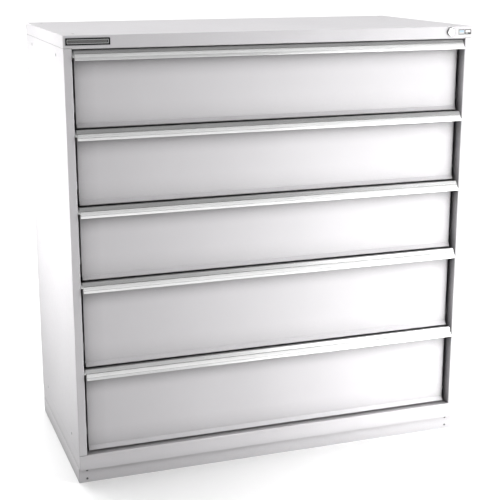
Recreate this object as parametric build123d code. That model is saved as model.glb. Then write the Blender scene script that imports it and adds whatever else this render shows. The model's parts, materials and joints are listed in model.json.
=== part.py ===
from build123d import *
import os

# Modular steel drawer cabinet: welded housing on a recessed plinth, five full-width drawers on
# telescopic roller slides, a key lock with a lock bar down the right side.
# +X right, +Y to the back, +Z up. Origin: centre of the floor footprint. Millimetres.

# ---------------------------------------------------------------- driving dimensions
width = 1435.0
height = 1511.0
housing_depth = 712.0
lip_reach = 12.0                # how far the handle lips stand in front of the housing
sheet = 1.5                     # steel gauge of every folded part
bend = 3.0                      # outer bend radius
seam = 1.0                      # joint line between stacked housing parts
pan_inset = 0.8                 # how far the base pan sits inside the panels above it

plinth_height = 55.0
plinth_setback = 21.0           # front cover behind the housing's front
plinth_rear_setback = 3.0       # leaves room for the screw heads
pan_top = 108.0
cap_bottom = 1471.0
opening_half = 690.0            # half width of the front opening
opening_top = 1468.0

first_handle_top = 1465.2
drawer_pitches = (250.8, 250.8, 250.8, 301.6, 301.6)
drawer_gap = 3.5

front_half = 678.0              # half width of a drawer front
front_depth = 33.0              # how far the drawer fronts sit behind the housing's front
flare_reach = 11.0
flare_height = 15.0
handle_half = 683.5
handle_height = 31.7
handle_wall = 2.0
tray_half = 658.0
tray_back_depth = 690.0
tray_lift = 8.0                 # tray floor above the drawer front's lower edge
tray_top_drop = 40.0            # tray rim below the top of the handle

rail_lift = 62.0                # slide centre above the drawer front's lower edge
rail_start = 58.0
rail_gauge = 2.0
channel_inside = 23.0
roller_radius = 11.0
roller_width = 8.0
axle_radius = 3.0

lock_x = 631.8
lock_z = 1491.6
lock_pin_throw = 10.0

front_y = lip_reach - (housing_depth + lip_reach) / 2
back_y = front_y + housing_depth
half_width = width / 2
channel_half = channel_inside / 2 + rail_gauge


# ---------------------------------------------------------------- helpers
def block(x_range, depth_range, z_range):
    """A box from its limits; depth is measured back from the housing's front plane."""
    size = [b - a for a, b in (x_range, depth_range, z_range)]
    middle = [(a + b) / 2 for a, b in (x_range, depth_range, z_range)]
    return Pos(middle[0], front_y + middle[1], middle[2]) * Box(*size)


def rod(radius, centre, depth_range):
    """A round bar along Y."""
    length = depth_range[1] - depth_range[0]
    place = Pos(centre[0], front_y + (depth_range[0] + depth_range[1]) / 2, centre[1])
    return place * Rot(90, 0, 0) * Cylinder(radius, length)


def cross_rod(radius, x_range, depth, z):
    """A round bar along X."""
    place = Pos((x_range[0] + x_range[1]) / 2, front_y + depth, z)
    return place * Rot(0, 90, 0) * Cylinder(radius, x_range[1] - x_range[0])


def along_x(section, x_range):
    """A (y, z) section extruded between two x limits."""
    solid = extrude(Plane.YZ * section, x_range[1] - x_range[0], dir=(1, 0, 0))
    return Pos(x_range[0], 0, 0) * solid


def folded_face(points, side, gauge=sheet, radius=bend):
    """Section of a folded sheet whose outer face runs through the points."""
    path = FilletPolyline(*points, radius=radius)
    return Face(Wire(path.edges()).offset_2d(gauge, side=side, closed=True))


def folded_along_x(points, x_range, side, gauge=sheet, radius=bend):
    """Folded sheet with a constant (depth, z) section, extruded along X."""
    section = folded_face([(front_y + d, z) for d, z in points], side, gauge, radius)
    return along_x(section, x_range)


def folded_along_z(points, z_range, side, gauge=sheet, radius=bend):
    """Folded sheet with a constant (x, depth) section, extruded upwards."""
    section = folded_face([(x, front_y + d) for x, d in points], side, gauge, radius)
    return Pos(0, 0, z_range[0]) * extrude(section, z_range[1] - z_range[0], dir=(0, 0, 1))


def mirrored(shape):
    return mirror(shape, about=Plane.YZ)


def pair(shape):
    """The right-hand piece and its left-hand twin as one group of separate solids."""
    return Compound(children=[shape, mirrored(shape)])


# ---------------------------------------------------------------- housing
side_hole_depths = (128.0, 594.0)
side_hole_heights = (140.0, 1442.0)
side_hole_radius = 5.5
top_hole_x = 672.0
top_hole_depths = (65.0, 655.0)
top_hole_radius = 5.5
return_flange = 45.0            # stops short of the lock bar's hooks
rear_flange = 20.0
joint_flange = 24.0


def lock_bar_notch(z):
    """Clearance through a joint flange for the lock bar."""
    return block((bar_x[0] - 2, bar_x[1] + 2), (bar_depths[0] - 2, bar_depths[1] + 2), (z - 4, z + 4))


def side_panel():
    """Right side: wall, front upright with its return, rear flange, top and bottom joint flanges."""
    low, high = pan_top + seam, cap_bottom - seam
    panel = folded_along_z(
        [(opening_half, return_flange), (opening_half, 0), (half_width, 0),
         (half_width, housing_depth), (half_width - rear_flange, housing_depth)],
        (low, high), Side.LEFT)
    inside = (half_width - joint_flange, half_width - sheet / 2)
    along = (2 * sheet, housing_depth - rear_flange - 2)
    panel += block(inside, along, (low, low + sheet))
    panel += block(inside, along, (high - sheet, high))
    panel -= lock_bar_notch(high)
    for depth in side_hole_depths:
        for z in side_hole_heights:
            panel -= cross_rod(side_hole_radius, (half_width - 4 * sheet, half_width + 1), depth, z)
    return panel


def folded_cap(z_low, z_high, inset=0.0):
    """Flat sheet with a skirt on four sides and a return flange round the skirt's lower edge."""
    tall = z_high - z_low
    across, deep = width - 2 * inset, housing_depth - 2 * inset
    centre = Pos(0, (front_y + back_y) / 2, (z_low + z_high) / 2)
    outer = Box(across, deep, tall)
    outer = fillet(outer.edges().filter_by(Axis.Z) + outer.faces().sort_by(Axis.Z)[-1].edges(), bend)
    inner = Pos(0, 0, -sheet) * Box(across - 2 * sheet, deep - 2 * sheet, tall)
    inner = fillet(inner.edges().filter_by(Axis.Z) + inner.faces().sort_by(Axis.Z)[-1].edges(),
                   bend - sheet)
    ring = Pos(0, 0, (sheet - tall) / 2) * (
        Box(across - sheet, deep - sheet, sheet)
        - Box(width - 2 * joint_flange, housing_depth - 2 * joint_flange, sheet))
    return centre * (outer - inner + ring)


def top_panel():
    """Top cap with its front rail, whose lower edge turns back over the opening."""
    cap = folded_cap(cap_bottom, height)
    cap += folded_along_x([(joint_flange, opening_top), (0, opening_top), (0, cap_bottom + 2 * bend)],
                          (-opening_half + 0.5, opening_half - 0.5), Side.RIGHT)
    for x in (-top_hole_x, top_hole_x):
        for depth in top_hole_depths:
            cap -= Pos(x, front_y + depth, height) * Cylinder(top_hole_radius, 6 * sheet)
    cap -= rod(lock_body_radius + 0.3, (lock_x, lock_z), (-1, 2 * sheet))
    cap -= lock_bar_notch(cap_bottom)
    return cap


def base_pan():
    return folded_cap(plinth_height, pan_top, pan_inset)


def back_panel():
    """Sheet between the side panels' rear flanges, stiffened by a flange each side."""
    half = half_width - rear_flange - 1.0
    panel = folded_along_z([(-half, housing_depth - rear_flange), (-half, housing_depth),
                            (half, housing_depth), (half, housing_depth - rear_flange)],
                           (pan_top + seam, cap_bottom - seam), Side.RIGHT)
    return panel


# ---------------------------------------------------------------- plinth
plinth_flange = 40.0
screw_x = 689.0
screw_heights = (14.0, 44.5)
screw_head_radius = 3.6
screw_head_height = 2.4
screw_radius = 2.0
socket_radius = 1.5
plinth_rear_depth = housing_depth - plinth_rear_setback


def plinth_side():
    """Channel under the pan: outer web, end flanges for the covers, floor and top flanges."""
    inner_x = half_width - plinth_flange
    ends = (plinth_setback + sheet, plinth_rear_depth - sheet)
    channel = folded_along_z([(inner_x, ends[0]), (half_width, ends[0]),
                              (half_width, ends[1]), (inner_x, ends[1])],
                             (0, plinth_height), Side.LEFT)
    for z in (0, plinth_height - sheet):
        channel += block((inner_x, half_width - sheet / 2), (ends[0] + sheet / 2, ends[1] - sheet / 2),
                         (z, z + sheet))
    for z in screw_heights:
        channel -= rod(screw_radius, (screw_x, z), (ends[0] - 1, ends[0] + 2 * sheet))
        channel -= rod(screw_radius, (screw_x, z), (ends[1] - 2 * sheet, ends[1] + 1))
    return channel


def plinth_cover(face_depth, inward):
    """Cover plate with softened outer ends; inward is +1 at the front, -1 at the rear."""
    near, far = sorted((face_depth, face_depth + inward * sheet))
    cover = block((-half_width, half_width), (near, far), (0, plinth_height - seam))
    for x in (-screw_x, screw_x):
        for z in screw_heights:
            cover -= rod(screw_radius, (x, z), (near - 1, far + 1))
    outer = cover.edges().filter_by(Axis.Z).group_by(Axis.Y)[0 if inward > 0 else -1]
    return fillet(outer, sheet * 0.6)


def plinth_screws():
    """Button-head screws with a hex socket, four through each cover."""
    screws = []
    for face_depth, inward in ((plinth_setback, 1), (plinth_rear_depth, -1)):
        for x in (-screw_x, screw_x):
            for z in screw_heights:
                head_end = face_depth - inward * screw_head_height
                tip = face_depth + inward * (2 * sheet + 6)
                head = rod(screw_head_radius, (x, z), sorted((head_end, face_depth)))
                head = fillet(head.edges().filter_by(GeomType.CIRCLE)
                              .sort_by(Axis.Y)[0 if inward > 0 else -1], screw_head_height * 0.7)
                face = Plane((x, front_y + head_end, z), z_dir=(0, inward, 0))
                head -= extrude(face * RegularPolygon(socket_radius, 6), socket_radius)
                screws.append(head + rod(screw_radius - 0.05, (x, z), sorted((face_depth, tip))))
    return Compound(children=screws)


# ---------------------------------------------------------------- slide posts
post_depths = (64.0, 640.0)
post_width = 30.0
post_slot_pitch = 50.0
post_slot = (5.0, 22.0)


def slide_post(depth):
    """Channel whose slotted web faces the drawers and carries the cabinet rails."""
    outer_x = half_width - sheet
    low, high = pan_top, cap_bottom - 2 * sheet
    post = folded_along_z([(outer_x, depth), (opening_half, depth),
                           (opening_half, depth + post_width), (outer_x, depth + post_width)],
                          (low + 2 * sheet, high), Side.RIGHT)
    count = int((high - low) // post_slot_pitch)
    for i in range(1, count):
        middle = depth + post_width / 2
        z = low + i * post_slot_pitch
        post -= block((opening_half - 1, opening_half + 2 * sheet),
                      (middle - post_slot[0] / 2, middle + post_slot[0] / 2),
                      (z - post_slot[1] / 2, z + post_slot[1] / 2))
    return post


def slide_posts():
    right = [slide_post(depth) for depth in post_depths]
    return Compound(children=right + [mirrored(post) for post in right])


# ---------------------------------------------------------------- lock
lock_body_radius = 9.0
lock_collar_radius = 13.5
lock_collar_height = 8.0
lock_collar_dome = 3.5
barrel_length = 30.0
nut_thickness = 5.0
plug_radius = 7.0
plug_clearance = 0.4
plug_proud = 0.6                # plug face in front of the collar
key_slot = (2.0, 9.0, 14.0)     # width, height, depth behind the rail's face
cam_depths = (36.5, 39.5)
cam_radius = 13.5
lock_pin_radius = 2.0
link_depths = (42.0, 45.0)
link_height = 12.0
link_slot = (14.0, 5.6)
bar_x = (694.0, 697.0)
bar_depths = (42.0, 56.0)
hook_depths = (47.0, 51.0)
hook_x = 681.0
hook_height = 8.0
hook_drop = 20.0                # hook centre below the slide centre while unlocked
guide_heights = (230.0, 850.0, 1400.0)
guide_depths = (38.0, 60.0)
guide_half = 9.0                # half height of a guide
guide_wall = 2.2
guide_play = 0.5
lock_stroke = 2 * lock_pin_throw * 0.70711
rest_link_z = lock_z - lock_stroke / 2


def lock_housing():
    """Threaded barrel with a domed collar in front of the rail and a nut behind it."""
    centre = (lock_x, lock_z)
    collar = rod(lock_collar_radius, centre, (-lock_collar_height, 0))
    collar = fillet(collar.edges().filter_by(GeomType.CIRCLE).sort_by(Axis.Y)[0], lock_collar_dome)
    barrel = rod(lock_body_radius, centre, (-1, barrel_length))
    nut = rod(lock_collar_radius, centre, (sheet, sheet + nut_thickness))
    bore = rod(plug_radius + plug_clearance, centre, (-lock_collar_height - 1, barrel_length + 1))
    return collar + barrel + nut - bore


def lock_plug():
    """Turning plug with a key slot, and the square tail that drives the cam."""
    centre = (lock_x, lock_z)
    wide, tall, deep = key_slot
    plug = rod(plug_radius, centre, (-lock_collar_height - plug_proud, cam_depths[0]))
    return plug - block((lock_x - wide / 2, lock_x + wide / 2), (-lock_collar_height - 2, deep),
                        (lock_z - tall / 2, lock_z + tall / 2))


def lock_cam():
    """Disc on the plug's tail with the pin that lifts the lock bar."""
    offset = lock_pin_throw * 0.70711
    disc = rod(cam_radius, (lock_x, lock_z), cam_depths)
    pin = rod(lock_pin_radius, (lock_x + offset, lock_z - offset), (cam_depths[1], link_depths[1] + 2))
    return disc + pin


def lock_link():
    """Arm across the top of the lock bar, slotted for the cam pin."""
    slot_x = lock_x + lock_pin_throw * 0.85
    arm = block((lock_x - 2, bar_x[0]), link_depths,
                (rest_link_z - link_height / 2, rest_link_z + link_height / 2))
    arm -= block((slot_x - link_slot[0] / 2, slot_x + link_slot[0] / 2),
                 (link_depths[0] - 1, link_depths[1] + 1),
                 (rest_link_z - link_slot[1] / 2, rest_link_z + link_slot[1] / 2))
    return arm


def lock_bar():
    return block(bar_x, bar_depths, (pan_top + 20, rest_link_z + link_height / 2))


def lock_bar_hooks():
    """One hook per drawer, below the catch on its slide until the bar is lifted."""
    hooks = []
    for base in drawer_bases:
        z = base + rail_lift - hook_drop
        hooks.append(block((hook_x, bar_x[0]), hook_depths, (z - hook_height / 2, z + hook_height / 2)))
    return Compound(children=hooks)


def lock_bar_guides():
    """Plastic saddles on the side panel that the lock bar slides in."""
    guides = []
    for z in guide_heights:
        guide = block((bar_x[0] - guide_wall, half_width - sheet), guide_depths,
                      (z - guide_half, z + guide_half))
        guide -= block((bar_x[0] - guide_play, bar_x[1] + guide_play),
                       (bar_depths[0] - guide_play, bar_depths[1] + guide_play),
                       (z - guide_half - 1, z + guide_half + 1))
        guides.append(guide)
    return Compound(children=guides)


# ---------------------------------------------------------------- plates on the front rail
def nameplate():
    """Blank plate with a raised rim."""
    x_range, z_range, rim = (-709.0, -568.5), (1480.0, 1502.0), 1.6
    plate = block(x_range, (-1.2, 0), z_range)
    field = block((x_range[0] + rim, x_range[1] - rim), (-2, -0.8), (z_range[0] + rim, z_range[1] - rim))
    return fillet(plate.edges().filter_by(Axis.Y), 1.2) - field


def information_label():
    return block((662.5, 713.0), (-0.4, 0), (1481.3, 1500.3))


# ---------------------------------------------------------------- drawers
handle_tops = [first_handle_top - sum(drawer_pitches[:i]) for i in range(len(drawer_pitches))]
drawer_bases = [top - pitch + drawer_gap for top, pitch in zip(handle_tops, drawer_pitches)]

front_return = 20.0
lower_return = 8.0              # lower edge turned back behind the front's face
front_bend = 2.0
hem_width = 8.0
hem_setback = 4.0               # hem's start behind the front's side returns
grip_top_edge = 8.0             # depth of the handle's upper front edge
grip_waist = (0.5, -10.8)       # foot of the sloping band: depth, height from the handle's top
grip_chin = (-9.3, -23.4)       # lower end of the label face
grip_bulge = 1.6
label_gaps = (2.0, 0.7)         # groove above and below the label strip
label_gauge = 1.6
label_seat = label_gauge + 0.05
foot_rounding = 0.26            # what the rounded foot takes off the lip's reach
leg_rise = 6.0                  # rear leg's foot above the lip's foot
lip_tip = (1.7, 0.2)            # inner corner of the lip from its foot


def drawer_front(base, top):
    """Folded front: top flange, flat face, flared lower edge turned back under, side returns."""
    face_top = top - handle_wall - 0.1
    front = folded_along_x(
        [(front_depth + front_return, face_top), (front_depth, face_top),
         (front_depth, base + flare_height), (front_depth - flare_reach, base),
         (front_depth + lower_return, base)],
        (-front_half, front_half), Side.LEFT, radius=front_bend)
    returns = block((front_half - sheet, front_half),
                    (front_depth + sheet / 2, front_depth + front_return),
                    (base + flare_height, face_top - sheet / 2))
    return front + returns + mirrored(returns)


def drawer_tray(base, top):
    """Open tray with an outward hem along both side walls."""
    low, high = base + tray_lift, top - tray_top_drop
    depths = (front_depth + sheet, tray_back_depth)
    tray = block((-tray_half, tray_half), depths, (low, high))
    tray -= block((sheet - tray_half, tray_half - sheet), (depths[0] + sheet, depths[1] - sheet),
                  (low + sheet, high + 1))
    hem = block((tray_half - sheet / 2, tray_half + hem_width),
                (front_depth + front_return + hem_setback, depths[1]), (high - sheet, high))
    return tray + hem + mirrored(hem)


def grip_points(top):
    """Corner points of the handle's outer face, as (y, z), from the rear edge to the lip's foot."""
    rear = (front_y + front_depth + front_return - 3, top)
    edge = (front_y + grip_top_edge, top)
    waist = (front_y + grip_waist[0], top + grip_waist[1])
    chin = (front_y + grip_chin[0], top + grip_chin[1])
    foot = (front_y - lip_reach - foot_rounding, top - handle_height)
    return rear, edge, waist, chin, foot


def label_arc(top, inset):
    """The label face's bowed line, moved in by inset."""
    _, _, waist, chin, _ = grip_points(top)
    chord = Vector(*chin) - Vector(*waist)
    outward = Vector(chord.Y, -chord.X).normalized()
    shift = outward * -inset
    start, end = Vector(*waist) + shift, Vector(*chin) + shift
    middle = (start + end) * 0.5 + outward * grip_bulge
    return ThreePointArc(start, middle, end)


def bowed_band(top, gauge, trims):
    """Section of a bowed strip behind the label face, shortened at its upper and lower ends."""
    arc = label_arc(top, gauge).edge()
    arc = arc.trim(trims[0] / arc.length, 1 - trims[1] / arc.length)
    outward = (arc @ 0.5 - (arc @ 0 + arc @ 1) * 0.5).normalized()
    far = arc.moved(Location(outward * gauge))
    return Face(Wire([arc, Line(arc @ 1, far @ 1).edge(), far, Line(far @ 0, arc @ 0).edge()]))


def drawer_handle(top):
    """Extruded pull: top flange, sloping band, bowed label channel, finger lip, rear leg."""
    rear, edge, waist, chin, foot = grip_points(top)
    outer_arc = label_arc(top, label_seat)
    inner_arc = label_arc(top, label_seat + handle_wall)
    under = top - handle_wall
    leg_back = front_y + front_depth
    leg_front = leg_back - handle_wall
    leg_foot = top - handle_height + leg_rise
    upper = FilletPolyline(rear, edge, waist, outer_arc @ 0, radius=[1.2, 0.3])
    lip = FilletPolyline(outer_arc @ 1, chin, foot, (foot[0] + lip_tip[0], foot[1] + lip_tip[1]),
                         inner_arc @ 1, radius=[0.3, 0.6, 0.6])
    inside = Polyline(inner_arc @ 0, (edge[0] + 1.1, under), (leg_front, under), (leg_front, leg_foot),
                      (leg_back, leg_foot), (leg_back, under), (rear[0], under), rear)
    edges = upper.edges() + outer_arc.edges() + lip.edges() + inner_arc.edges() + inside.edges()
    return along_x(Face(Wire(edges)), (-handle_half, handle_half))


def drawer_label(top):
    """Clear-faced strip in the handle's bowed channel."""
    section = bowed_band(top, label_gauge, label_gaps)
    half = handle_half - 1.0
    return along_x(section, (-half, half))


def slide_channel(web_x, open_to, depths, z):
    """C-shaped rail: web at web_x, flanges reaching to open_to."""
    near, far = sorted((web_x, open_to))
    channel = block((near, far), depths, (z - channel_half, z + channel_half))
    inner_near = near + rail_gauge if web_x < open_to else near - 1
    inner_far = far + 1 if web_x < open_to else far - rail_gauge
    return channel - block((inner_near, inner_far), (depths[0] - 1, depths[1] + 1),
                           (z - channel_inside / 2, z + channel_inside / 2))


inner_open_x = 671.5
plate_x = (672.5, 674.5)
outer_open_x = 675.5
catch_depths = (rail_start - 4, rail_start - 2)
catch_x = 686.0
plate_depths = (rail_start + 4, tray_back_depth - 12)
plate_half = 14.0               # half height of the carriage plate
plate_corner = 6.0
roller_play = 1.0               # beside each roller
roller_edge = 1.0
rollers_outboard = (332.0, 660.0)
rollers_inboard = (90.0, 350.0)


def drawer_rail(base):
    """Drawer member of the slide, with the lock catch turned out at its front end."""
    z = base + rail_lift
    rail = slide_channel(tray_half, inner_open_x, (catch_depths[0], tray_back_depth), z)
    catch = block((tray_half, catch_x), catch_depths, (z - channel_half, z + channel_half))
    return rail + catch


def cabinet_rail(base):
    return slide_channel(opening_half, outer_open_x, (rail_start, tray_back_depth), base + rail_lift)


def slide_carriage(base):
    """Plate between the two rails with the riveted axles of its rollers."""
    z = base + rail_lift
    axle_length = roller_width + 2 * roller_play
    plate = block(plate_x, plate_depths, (z - plate_half, z + plate_half))
    plate = fillet(plate.edges().filter_by(Axis.X), plate_corner)
    for depth in rollers_outboard:
        plate += cross_rod(axle_radius, (plate_x[0], plate_x[1] + axle_length), depth, z)
    for depth in rollers_inboard:
        plate += cross_rod(axle_radius, (plate_x[0] - axle_length, plate_x[1]), depth, z)
    return plate


def slide_rollers(base):
    """Rollers that run in the cabinet rail (outboard) and in the drawer rail (inboard)."""
    z = base + rail_lift
    rollers = []
    for side_x, depths in ((plate_x[1] + roller_play, rollers_outboard),
                           (plate_x[0] - roller_play - roller_width, rollers_inboard)):
        for depth in depths:
            x_range = (side_x, side_x + roller_width)
            wheel = cross_rod(roller_radius, x_range, depth, z)
            wheel = fillet(wheel.edges().filter_by(GeomType.CIRCLE), roller_edge)
            wheel -= cross_rod(axle_radius + 0.05, (x_range[0] - 1, x_range[1] + 1), depth, z)
            rollers.append(wheel)
    return Compound(children=rollers + [mirrored(roller) for roller in rollers])


# ---------------------------------------------------------------- nodes
def build():
    right_side = side_panel()
    right_plinth = plinth_side()
    nodes = {
        "side_panel_right": right_side,
        "side_panel_left": mirrored(right_side),
        "back_panel": back_panel(),
        "top_panel": top_panel(),
        "base_pan": base_pan(),
        "plinth_side_right": right_plinth,
        "plinth_side_left": mirrored(right_plinth),
        "plinth_front_cover": plinth_cover(plinth_setback, 1),
        "plinth_rear_cover": plinth_cover(plinth_rear_depth, -1),
        "plinth_screws": plinth_screws(),
        "slide_posts": slide_posts(),
        "nameplate": nameplate(),
        "information_label": information_label(),
        "lock_housing": lock_housing(),
        "lock_plug": lock_plug(),
        "lock_cam": lock_cam(),
        "lock_link": lock_link(),
        "lock_bar": lock_bar(),
        "lock_bar_hooks": lock_bar_hooks(),
        "lock_bar_guides": lock_bar_guides(),
    }
    for number, (base, top) in enumerate(zip(drawer_bases, handle_tops), start=1):
        name = f"drawer_{number}_"
        nodes[name + "front"] = drawer_front(base, top)
        nodes[name + "tray"] = drawer_tray(base, top)
        nodes[name + "handle"] = drawer_handle(top)
        nodes[name + "label_strip"] = drawer_label(top)
        nodes[name + "drawer_rails"] = pair(drawer_rail(base))
        nodes[name + "cabinet_rails"] = pair(cabinet_rail(base))
        nodes[name + "carriages"] = pair(slide_carriage(base))
        nodes[name + "rollers"] = slide_rollers(base)
    return nodes


os.makedirs("parts", exist_ok=True)
for node, shape in build().items():
    export_step(shape, f"parts/{node}.step")
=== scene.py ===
"""Looks of the steel drawer cabinet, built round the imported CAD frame. Metres, +Z up, front faces -Y."""
import json
import math

import bpy
import bmesh
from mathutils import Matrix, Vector


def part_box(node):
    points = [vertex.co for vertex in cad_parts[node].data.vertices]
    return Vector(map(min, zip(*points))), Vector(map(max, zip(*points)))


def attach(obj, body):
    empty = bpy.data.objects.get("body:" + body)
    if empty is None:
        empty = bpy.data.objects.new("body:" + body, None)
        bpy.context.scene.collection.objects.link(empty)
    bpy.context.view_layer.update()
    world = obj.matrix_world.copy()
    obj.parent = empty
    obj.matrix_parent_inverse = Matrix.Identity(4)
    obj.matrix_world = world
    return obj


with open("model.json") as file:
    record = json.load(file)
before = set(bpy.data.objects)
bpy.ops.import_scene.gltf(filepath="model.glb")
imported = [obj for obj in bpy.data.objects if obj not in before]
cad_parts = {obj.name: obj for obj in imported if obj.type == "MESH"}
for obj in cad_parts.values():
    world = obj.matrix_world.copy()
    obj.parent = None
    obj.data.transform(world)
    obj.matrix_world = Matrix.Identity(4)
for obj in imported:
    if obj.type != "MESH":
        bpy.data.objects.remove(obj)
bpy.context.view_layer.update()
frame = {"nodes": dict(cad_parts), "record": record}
nodes = frame["nodes"]


# ---------------------------------------------------------------- camera
CAMERA_PLACE = (-1.3705, -3.9008, 1.7584)
CAMERA_AZIMUTH = -19.613        # degrees round from the front, towards the left
CAMERA_TILT = 14.597            # degrees looking down
CAMERA_LENS = 82.31             # millimetres, on the sensor below
CAMERA_SENSOR = 36.0


def make_camera():
    azimuth, tilt = math.radians(CAMERA_AZIMUTH), math.radians(CAMERA_TILT)
    back = Vector((math.sin(azimuth) * math.cos(tilt), -math.cos(azimuth) * math.cos(tilt), math.sin(tilt)))
    camera = bpy.data.cameras.new("camera")
    camera.lens = CAMERA_LENS
    camera.sensor_width = CAMERA_SENSOR
    camera.sensor_fit = "HORIZONTAL"
    camera.clip_end = 300.0
    holder = bpy.data.objects.new("camera", camera)
    holder.location = CAMERA_PLACE
    holder.rotation_euler = back.to_track_quat("Z", "Y").to_euler()
    bpy.context.scene.collection.objects.link(holder)
    bpy.context.scene.camera = holder


make_camera()


# ---------------------------------------------------------------- material helpers
# Noise scales are per metre and bump distances in metres. Most of a noise lies in this range.
NOISE_LOW, NOISE_HIGH = 0.3, 0.7


class Nodes:
    """A material with one Principled shader and short calls for the nodes that feed it."""

    def __init__(self, name, color, roughness, metallic=0.0, **sockets):
        self.material = bpy.data.materials.new(name)
        self.material.use_nodes = True
        self.tree = self.material.node_tree
        self.shader = self.tree.nodes["Principled BSDF"]
        self.set("Base Color", (*color, 1.0))
        self.set("Roughness", roughness)
        self.set("Metallic", metallic)
        for socket, value in sockets.items():
            self.set(socket.replace("_", " "), value)
        self.place = self.tree.nodes.new("ShaderNodeTexCoord").outputs["Object"]

    def link(self, output, target):
        """Feed an output to a socket, or to the shader's socket of that name."""
        socket = self.shader.inputs[target] if isinstance(target, str) else target
        self.tree.links.new(output, socket)

    def set(self, socket, value):
        self.shader.inputs[socket].default_value = value

    def node(self, kind, **settings):
        made = self.tree.nodes.new(kind)
        for key, value in settings.items():
            setattr(made, key, value)
        return made

    def stretched(self, scale):
        mapping = self.node("ShaderNodeMapping")
        mapping.inputs["Scale"].default_value = scale
        self.link(self.place, mapping.inputs["Vector"])
        return mapping.outputs["Vector"]

    def noise(self, scale, detail=2.0, roughness=0.5, vector=None):
        made = self.node("ShaderNodeTexNoise")
        made.inputs["Scale"].default_value = scale
        made.inputs["Detail"].default_value = detail
        made.inputs["Roughness"].default_value = roughness
        self.link(vector or self.place, made.inputs["Vector"])
        return made.outputs["Fac"]

    def voronoi(self, scale):
        made = self.node("ShaderNodeTexVoronoi")
        made.inputs["Scale"].default_value = scale
        self.link(self.place, made.inputs["Vector"])
        return made.outputs["Distance"]

    def ramp(self, value, dark, light, low=NOISE_LOW, high=NOISE_HIGH):
        """A colour that runs from dark to light while value runs from low to high."""
        made = self.node("ShaderNodeValToRGB")
        for element, position, color in zip(made.color_ramp.elements, (low, high), (dark, light)):
            element.position = position
            element.color = (*color, 1.0)
        self.link(value, made.inputs["Fac"])
        return made.outputs["Color"]

    def span(self, noise, low, high):
        """A number that runs from low to high over the noise's range."""
        made = self.node("ShaderNodeMapRange")
        limits = {"From Min": NOISE_LOW, "From Max": NOISE_HIGH, "To Min": low, "To Max": high}
        for socket, number in limits.items():
            made.inputs[socket].default_value = number
        self.link(noise, made.inputs["Value"])
        return made.outputs["Result"]

    def multiply(self, first, second):
        made = self.node("ShaderNodeMix", data_type="RGBA", blend_type="MULTIPLY")
        made.inputs["Factor"].default_value = 1.0
        self.link(first, made.inputs["A"])
        self.link(second, made.inputs["B"])
        return made.outputs["Result"]

    def bump(self, height, distance, under=None):
        made = self.node("ShaderNodeBump")
        made.inputs["Distance"].default_value = distance
        self.link(height, made.inputs["Height"])
        if under is not None:
            self.link(under, made.inputs["Normal"])
        return made.outputs["Normal"]

    def painted_crevice_shade(self, distance, closed, clear, dark):
        """Painted shade in gaps and folds: the colour darkens by ambient occlusion, fully at the closed end
        and not at all at the clear end.
        """
        made = self.node("ShaderNodeAmbientOcclusion", samples=8)
        made.inputs["Distance"].default_value = distance
        return self.ramp(made.outputs["AO"], dark, grey(1.0), closed, clear)


def grey(value, tint=0.0):
    """A grey whose blue side is lifted by tint."""
    return (value * (1 - tint), value, value * (1 + tint))


def paint(value):
    """The powder coat's grey, a touch towards violet."""
    return (value * 1.011, value * 0.990, value * 1.016)


# ---------------------------------------------------------------- materials
def powder_coat(name, shade, painted_shade):
    """Fine-textured powder coat: orange-peel and grain, slight film variation, painted shade in folds."""
    m = Nodes(name, paint(shade), 0.42, Specular_IOR_Level=0.45)
    film = m.ramp(m.noise(3.0, 4.0, 0.55), paint(shade * 0.975), paint(shade * 1.015))
    speck = m.ramp(m.noise(1400.0, 1.0), grey(0.955), grey(1.0), 0.35, 0.6)
    # Painted shade: the colour darkens by ambient occlusion in gaps, folds and recesses, and under the
    # handles.
    shade_in_folds = m.painted_crevice_shade(0.08, 0.50, 0.97, grey(painted_shade))
    m.link(m.multiply(m.multiply(film, speck), shade_in_folds), "Base Color")
    m.link(m.span(m.noise(60.0, 3.0), 0.36, 0.48), "Roughness")
    peel = m.bump(m.noise(260.0, 2.0), 0.00012)
    m.link(m.bump(m.voronoi(1600.0), 0.00006, peel), "Normal")
    return m.material


def extruded_aluminium():
    """Satin anodised extrusion with fine die lines along its length."""
    m = Nodes("extruded_aluminium", grey(0.82), 0.32, 1.0)
    lines = m.noise(1.0, 3.0, 0.6, m.stretched((3.0, 1500.0, 1500.0)))
    film = m.ramp(m.noise(6.0, 2.0), grey(0.79), grey(0.85))
    streak = m.ramp(lines, grey(0.93), grey(1.0))
    # Painted shade: the colour darkens by ambient occlusion in the handle's grooves and under the part
    # above.
    painted_shade = m.painted_crevice_shade(0.03, 0.35, 0.64, grey(0.15))
    m.link(m.multiply(m.multiply(film, streak), painted_shade), "Base Color")
    m.link(m.span(lines, 0.26, 0.40), "Roughness")
    m.link(m.bump(lines, 0.00004), "Normal")
    return m.material


def label_cover():
    """Clear cover over a white card: bright, glossy, with faint waviness."""
    m = Nodes("label_cover", grey(0.92), 0.18, Coat_Weight=0.6, Coat_Roughness=0.06)
    card = m.ramp(m.noise(40.0, 3.0), grey(0.90), grey(0.94))
    m.link(card, "Base Color")
    m.link(m.span(m.noise(30.0, 2.0), 0.14, 0.24), "Roughness")
    m.link(m.bump(m.noise(1.0, 1.0, 0.5, m.stretched((14.0, 120.0, 120.0))), 0.0001), "Normal")
    return m.material


def zinc_plate(name, shade, roughness):
    """Bright zinc on rolled steel: rolling marks along Y and a faint spangle."""
    m = Nodes(name, grey(shade, 0.01), roughness, 1.0)
    rolling = m.noise(1.0, 3.0, 0.6, m.stretched((600.0, 8.0, 600.0)))
    spangle = m.ramp(m.voronoi(90.0), grey(shade * 0.92, 0.015), grey(shade * 1.05, 0.005), 0.1, 0.7)
    m.link(m.multiply(spangle, m.ramp(rolling, grey(0.92), grey(1.0))), "Base Color")
    m.link(m.span(rolling, roughness - 0.06, roughness + 0.1), "Roughness")
    m.link(m.bump(rolling, 0.00005), "Normal")
    return m.material


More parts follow.
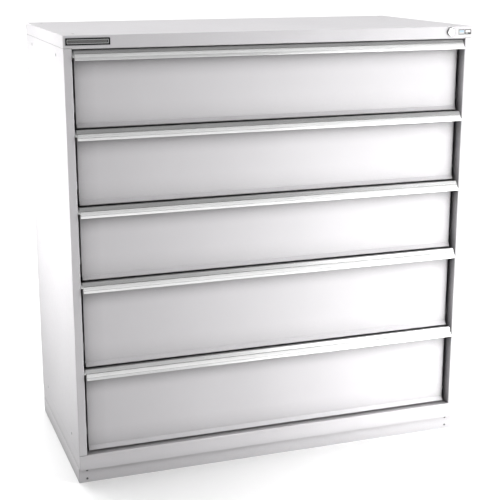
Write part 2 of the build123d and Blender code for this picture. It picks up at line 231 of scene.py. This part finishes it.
def moulded_plastic(name, shade, roughness):
    m = Nodes(name, grey(shade), roughness)
    m.link(m.ramp(m.noise(50.0, 3.0), grey(shade * 0.9), grey(shade * 1.1)), "Base Color")
    m.link(m.bump(m.noise(900.0, 2.0), 0.00005), "Normal")
    return m.material


def nickel():
    """Plated casting, lightly turned, with painted shade where it meets the rail."""
    m = Nodes("nickel", grey(0.70, 0.005), 0.30, 1.0)
    plating = m.ramp(m.noise(200.0, 3.0), grey(0.665), grey(0.721))
    # Painted shade: the colour darkens by ambient occlusion round the lock's foot and collar.
    m.link(m.multiply(plating, m.painted_crevice_shade(0.014, 0.50, 0.93, grey(0.10))), "Base Color")
    m.link(m.span(m.noise(500.0, 2.0), 0.25, 0.38), "Roughness")
    m.link(m.bump(m.noise(1100.0, 2.0), 0.00003), "Normal")
    return m.material


def printed_film(name, shade, tint=0.0, gloss=0.3):
    """Ink on film with a thin clear layer over it."""
    m = Nodes(name, grey(shade, tint), 0.4,
              Specular_IOR_Level=gloss, Coat_Weight=gloss * 0.5, Coat_Roughness=0.25)
    m.link(m.ramp(m.noise(300.0, 3.0), grey(shade * 0.93, tint), grey(shade * 1.05, tint)),
           "Base Color")
    m.link(m.bump(m.noise(1500.0, 1.0), 0.00002), "Normal")
    return m.material


MATERIALS = {
    "powder_coat": powder_coat("powder_coat", 0.74, 0.34),
    "anodised_aluminium": extruded_aluminium(),
    "label_strip": label_cover(),
    "zinc_steel": zinc_plate("zinc_plate", 0.62, 0.33),
    "zinc_hardware": zinc_plate("zinc_hardware", 0.14, 0.36),
    "roller_plastic": moulded_plastic("roller_plastic", 0.03, 0.45),
    "guide_plastic": moulded_plastic("guide_plastic", 0.7, 0.4),
    "lock_chrome": nickel(),
    "nameplate": printed_film("nameplate_field", 0.016, 0.06, 0.08),
    "label_film": printed_film("label_film", 0.62),
}
PLINTH = ("plinth_front_cover", "plinth_rear_cover", "plinth_side_left", "plinth_side_right")
# Painted light: a lighter copy of the powder coat on the plinth covers, with weaker painted shade in its
# folds.
PLINTH_LIGHTENED_COAT = powder_coat("plinth_lightened_coat", 0.86, 0.66)
node_slots = {part["node"]: part["material_slot"] for part in frame["record"]["subparts"]}
for name, holder in nodes.items():
    holder.data.materials.clear()
    holder.data.materials.append(PLINTH_LIGHTENED_COAT if name in PLINTH else MATERIALS[node_slots[name]])


# ---------------------------------------------------------------- print on the two plates
MILLIMETRE = 0.001


def link_object(name, bm, material):
    """An object made from a finished bmesh."""
    mesh = bpy.data.meshes.new(name)
    bm.to_mesh(mesh)
    bm.free()
    made = bpy.data.objects.new(name, mesh)
    bpy.context.scene.collection.objects.link(made)
    mesh.materials.append(material)
    return made


def raised_print(name, base, sunk, gauge, shade, outlines, tint=0.0):
    """Thin raised shapes on a node's face, in millimetres, with softened edges.

    They start sunk behind the node's foremost point and stand gauge proud of there. Each outline is
    two rectangles (x0, x1, z0, z1) from the node's lower left corner: the shape, and the window cut
    out of it or None.
    """
    low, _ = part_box(base)
    front = low.y + sunk * MILLIMETRE
    bm = bmesh.new()

    def loop(rectangle):
        x0, x1, z0, z1 = (value * MILLIMETRE for value in rectangle)
        corners = ((x0, z0), (x1, z0), (x1, z1), (x0, z1))
        return [bm.verts.new((low.x + x, front, low.z + z)) for x, z in corners]

    for shape, window in outlines:
        outer = loop(shape)
        if window is None:
            faces = [bm.faces.new(outer)]
        else:
            inner = loop(window)
            sides = ((0, 1), (1, 2), (2, 3), (3, 0))
            faces = [bm.faces.new((outer[a], outer[b], inner[b], inner[a])) for a, b in sides]
        grown = bmesh.ops.extrude_face_region(bm, geom=faces)["geom"]
        raised = [item for item in grown if isinstance(item, bmesh.types.BMVert)]
        bmesh.ops.translate(bm, verts=raised, vec=(0.0, -gauge * MILLIMETRE, 0.0))
    bmesh.ops.recalc_face_normals(bm, faces=bm.faces)
    sharp = [edge for edge in bm.edges if edge.is_manifold and edge.calc_face_angle() > 1]
    bmesh.ops.bevel(bm, geom=sharp, offset=gauge * MILLIMETRE / 4, segments=2, affect="EDGES")
    piece = link_object(name, bm, printed_film(name, shade, tint))
    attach(piece, "housing")


# The nameplate's field lies 0.4 mm behind its rim.
raised_print("nameplate_line", "nameplate", 0.39, 0.2, 0.52,
             [((4.5, 136.0, 4.3, 17.7), (6.5, 134.0, 6.3, 15.7))])
raised_print("nameplate_ribs", "nameplate", 0.39, 0.15, 0.24,
             [((8.5, 132.0, z, z + 1.3), None) for z in (7.4, 9.4, 11.4, 13.4)])
raised_print("label_frame", "information_label", 0.01, 0.08, 0.035,
             [((1.0, 23.5, 1.2, 17.8), (2.2, 22.5, 3.0, 15.8)), ((24.5, 49.5, 1.2, 17.8), None)])
raised_print("label_blocks", "information_label", -0.06, 0.08, 0.80,
             [((27.0, 46.5, 8.0, 15.2), None), ((27.0, 37.0, 4.2, 6.2), None)])
raised_print("label_band", "information_label", 0.01, 0.06, 0.60,
             [((4.0, 21.0, 9.0, 14.5), None)], tint=0.30)


# ---------------------------------------------------------------- studio
FLOOR_REACH = 80.0              # metres from the middle to each edge
WALL_RADIUS = 78.0
WALL_HEIGHT = 90.0
WALL_CENTRE = 44.0              # its foot lies just under the floor
WORLD_STRENGTH = 0.27
SUN_STRENGTH = 2.75
SUN_SPREAD = 50.0               # degrees
SUN_TILT = 25.0                 # degrees back from straight overhead
# name, place, target, size, watts, spread in degrees
SOFTBOXES = (
    ("right_key", (1.7, -1.7, 1.3), (0.5, -0.35, 0.7), (0.9, 1.4), 21.0, 180.0),
    ("right_low", (1.0, -1.6, 0.45), (0.5, -0.35, 0.5), (0.8, 0.6), 13.0, 180.0),
    ("right_high", (1.4, -1.8, 2.0), (0.4, -0.35, 0.8), (1.0, 1.0), 7.0, 180.0),
    ("front", (0.3, -4.0, 2.6), (0.0, -0.35, 0.8), (2.5, 1.5), 14.0, 180.0),
    ("right_foot", (1.3, -1.6, 0.22), (0.65, -0.35, 0.03), (0.8, 0.3), 0.7, 45.0),
    ("left_near", (-2.3, 0.0, 1.1), (-0.72, 0.0, 1.1), (1.2, 1.2), 6.9, 60.0),
    ("left_far", (-3.6, 0.0, 1.6), (-0.72, 0.0, 1.0), (2.0, 2.0), 4.0, 180.0),
)


def area_light(name, place, target, size, power, spread):
    light = bpy.data.lights.new(name, "AREA")
    light.shape = "RECTANGLE"
    light.size, light.size_y = size
    light.energy = power
    light.spread = math.radians(spread)
    holder = bpy.data.objects.new(name, light)
    holder.location = place
    holder.rotation_euler = (Vector(place) - Vector(target)).to_track_quat("Z", "Y").to_euler()
    bpy.context.scene.collection.objects.link(holder)


def overhead_sun():
    """Even light from a studio ceiling, tilted back so that it falls from behind the cabinet."""
    light = bpy.data.lights.new("overhead", "SUN")
    light.energy = SUN_STRENGTH
    light.angle = math.radians(SUN_SPREAD)
    holder = bpy.data.objects.new("overhead", light)
    holder.rotation_euler = (math.radians(-SUN_TILT), 0.0, 0.0)
    bpy.context.scene.collection.objects.link(holder)


def pale_ground(name, cloud_scale, glow):
    """Matt white with a faint glow and faint clouds."""
    m = Nodes(name, grey(0.98), 0.9, Emission_Strength=glow)
    m.link(m.ramp(m.noise(cloud_scale, 3.0), grey(0.975), grey(0.985)), "Base Color")
    return m.material


def make_floor():
    bm = bmesh.new()
    bmesh.ops.create_grid(bm, x_segments=8, y_segments=8, size=FLOOR_REACH)
    floor = link_object("floor", bm, pale_ground("floor", 0.6, 0.13))
    floor.visible_diffuse = False


def make_backdrop():
    """Pale wall all round at the floor's edge, for views past the horizon; it casts no light."""
    bm = bmesh.new()
    bmesh.ops.create_cone(bm, cap_ends=False, segments=96, radius1=WALL_RADIUS, radius2=WALL_RADIUS,
                          depth=WALL_HEIGHT)
    bmesh.ops.translate(bm, verts=bm.verts, vec=(0.0, 0.0, WALL_CENTRE))
    wall = link_object("backdrop", bm, pale_ground("backdrop", 0.3, 0.9))
    wall.visible_diffuse = False
    wall.visible_glossy = False
    wall.visible_transmission = False
    wall.visible_shadow = False


def make_world():
    world = bpy.data.worlds.new("studio")
    world.use_nodes = True
    background = world.node_tree.nodes["Background"]
    background.inputs["Color"].default_value = (1.0, 1.0, 1.0, 1.0)
    background.inputs["Strength"].default_value = WORLD_STRENGTH
    bpy.context.scene.world = world


make_floor()
make_backdrop()
make_world()
overhead_sun()
for softbox in SOFTBOXES:
    area_light(*softbox)
bpy.context.scene.view_settings.view_transform = "Standard"
